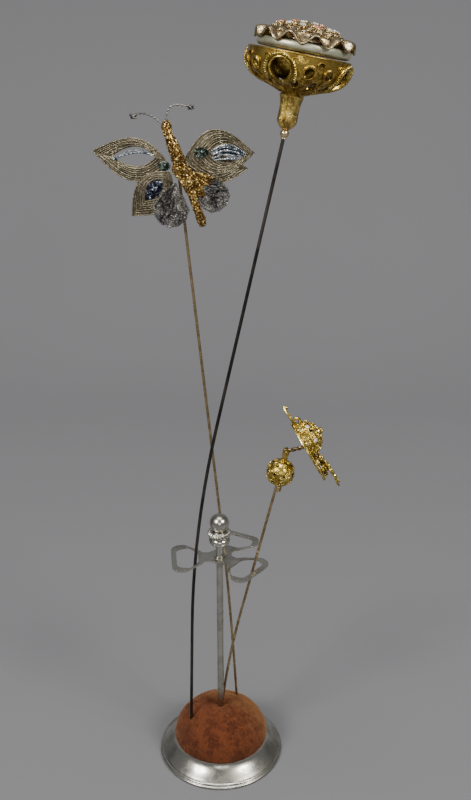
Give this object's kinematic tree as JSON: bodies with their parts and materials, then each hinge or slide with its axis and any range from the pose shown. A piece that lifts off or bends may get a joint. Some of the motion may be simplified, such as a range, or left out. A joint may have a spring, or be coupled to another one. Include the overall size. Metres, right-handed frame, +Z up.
{
  "type": "hat pin set in a pincushion stand",
  "caption": "Hat pins with a pierced basket head, a wire butterfly and a tilting plaque, standing in a velvet pincushion holder with a looped guide.",
  "frame": {"origin": "centre of the holder's flat underside", "axes": "+Z up along the post, +X to the right and -Y to the front as the set is seen"},
  "size_m": [0.1024, 0.0653, 0.3388],
  "materials": {
    "plate_metal": "worn silver plate, softly polished",
    "lead_grey": "rough cast",
    "baize": "green baize",
    "card": "plain card",
    "filling": "packed bran and wool",
    "velvet": "worn terracotta velvet",
    "iron": "plain steel",
    "brass_dull": "dull brass",
    "blued_steel": "dark blued steel",
    "pale_gilt": "pale gilt",
    "gilt": "antique gilt",
    "cream": "cream celluloid",
    "rose_gilt": "rose gilt",
    "clear_paste": "clear paste stones",
    "coral_paste": "coral paste stones",
    "brown_brass": "browned brass",
    "bullion": "gold bullion wire",
    "dark_wire": "tarnished fine wire",
    "wing_wire": "tarnished gilt and silver wire",
    "tinsel": "pale blue lustre strand",
    "blue_foil": "blue-violet foil",
    "green_foil": "green foil",
    "bright_gilt": "bright gilt"
  },
  "bodies": {
    "stand": {"base_dish": "plate_metal", "base_weight": "lead_grey", "base_cloth": "baize", "cushion_card": "card", "cushion_filling": "filling", "cushion_velvet": "velvet", "post": "plate_metal", "post_washer": "iron", "post_nut": "brass_dull", "pin_guide": "plate_metal", "finial_stem": "plate_metal", "finial_cup": "plate_metal", "finial_gadroon": "plate_metal", "finial_ball": "plate_metal"},
    "basket_pin": {"basket_shank": "blued_steel", "basket_bead": "pale_gilt", "basket_calyx": "gilt", "basket_bowl": "gilt", "bowl_arches": "gilt", "bowl_scrolls": "gilt", "bowl_rim": "gilt", "tie_rod": "brass_dull", "disc_spacer": "brass_dull", "cream_disc": "cream", "top_ruffle": "rose_gilt", "top_dome": "pale_gilt", "tie_nut": "pale_gilt", "stone_cups": "gilt", "clear_stones": "clear_paste", "coral_stones": "coral_paste"},
    "butterfly_pin": {"butterfly_shank": "brown_brass", "wing_binding": "brown_brass", "wing_spine": "brown_brass", "body_head": "bullion", "body_thorax": "bullion", "body_abdomen": "bullion", "bullion_rays": "bullion", "antenna_left": "dark_wire", "antenna_right": "dark_wire", "forewing_left": "wing_wire", "forewing_right": "wing_wire", "hindwing_left": "wing_wire", "hindwing_right": "wing_wire", "tail_fan_left": "dark_wire", "tail_fan_right": "dark_wire", "forewing_tinsel": "tinsel", "hindwing_foil": "blue_foil", "wing_eyes": "green_foil"},
    "plaque_pin": {"plaque_shank": "brown_brass", "wrap_collar": "bright_gilt", "filigree_ball": "bright_gilt", "knuckle": "bright_gilt", "knuckle_rivet": "bright_gilt"},
    "plaque_head": {"twisted_arm": "brass_dull", "plaque_plate": "bright_gilt", "top_leaf": "bright_gilt", "tail_leaf": "bright_gilt", "plaque_boss": "bright_gilt", "plaque_cups": "bright_gilt", "plaque_stones": "clear_paste"}
  },
  "joints": [
    {"name": "basket_pin_slide", "type": "slide", "parent": "stand", "child": "basket_pin", "axis": [0.0244, 0.0244, 0.9994], "range_m": [0, 0.11]},
    {"name": "butterfly_pin_slide", "type": "slide", "parent": "stand", "child": "butterfly_pin", "axis": [-0.0593, 0.0366, 0.9976], "range_m": [0, 0.11]},
    {"name": "plaque_pin_slide", "type": "slide", "parent": "stand", "child": "plaque_pin", "axis": [0.0947, -0.1523, 0.9838], "range_m": [0, 0.11]},
    {"name": "plaque_tilt", "type": "hinge", "parent": "plaque_pin", "child": "plaque_head", "pos_m": [0.02861, -0.00986, 0.16943], "axis": [-0.0074, -0.9976, -0.0681], "range_deg": [-15, 75]}
  ]
}
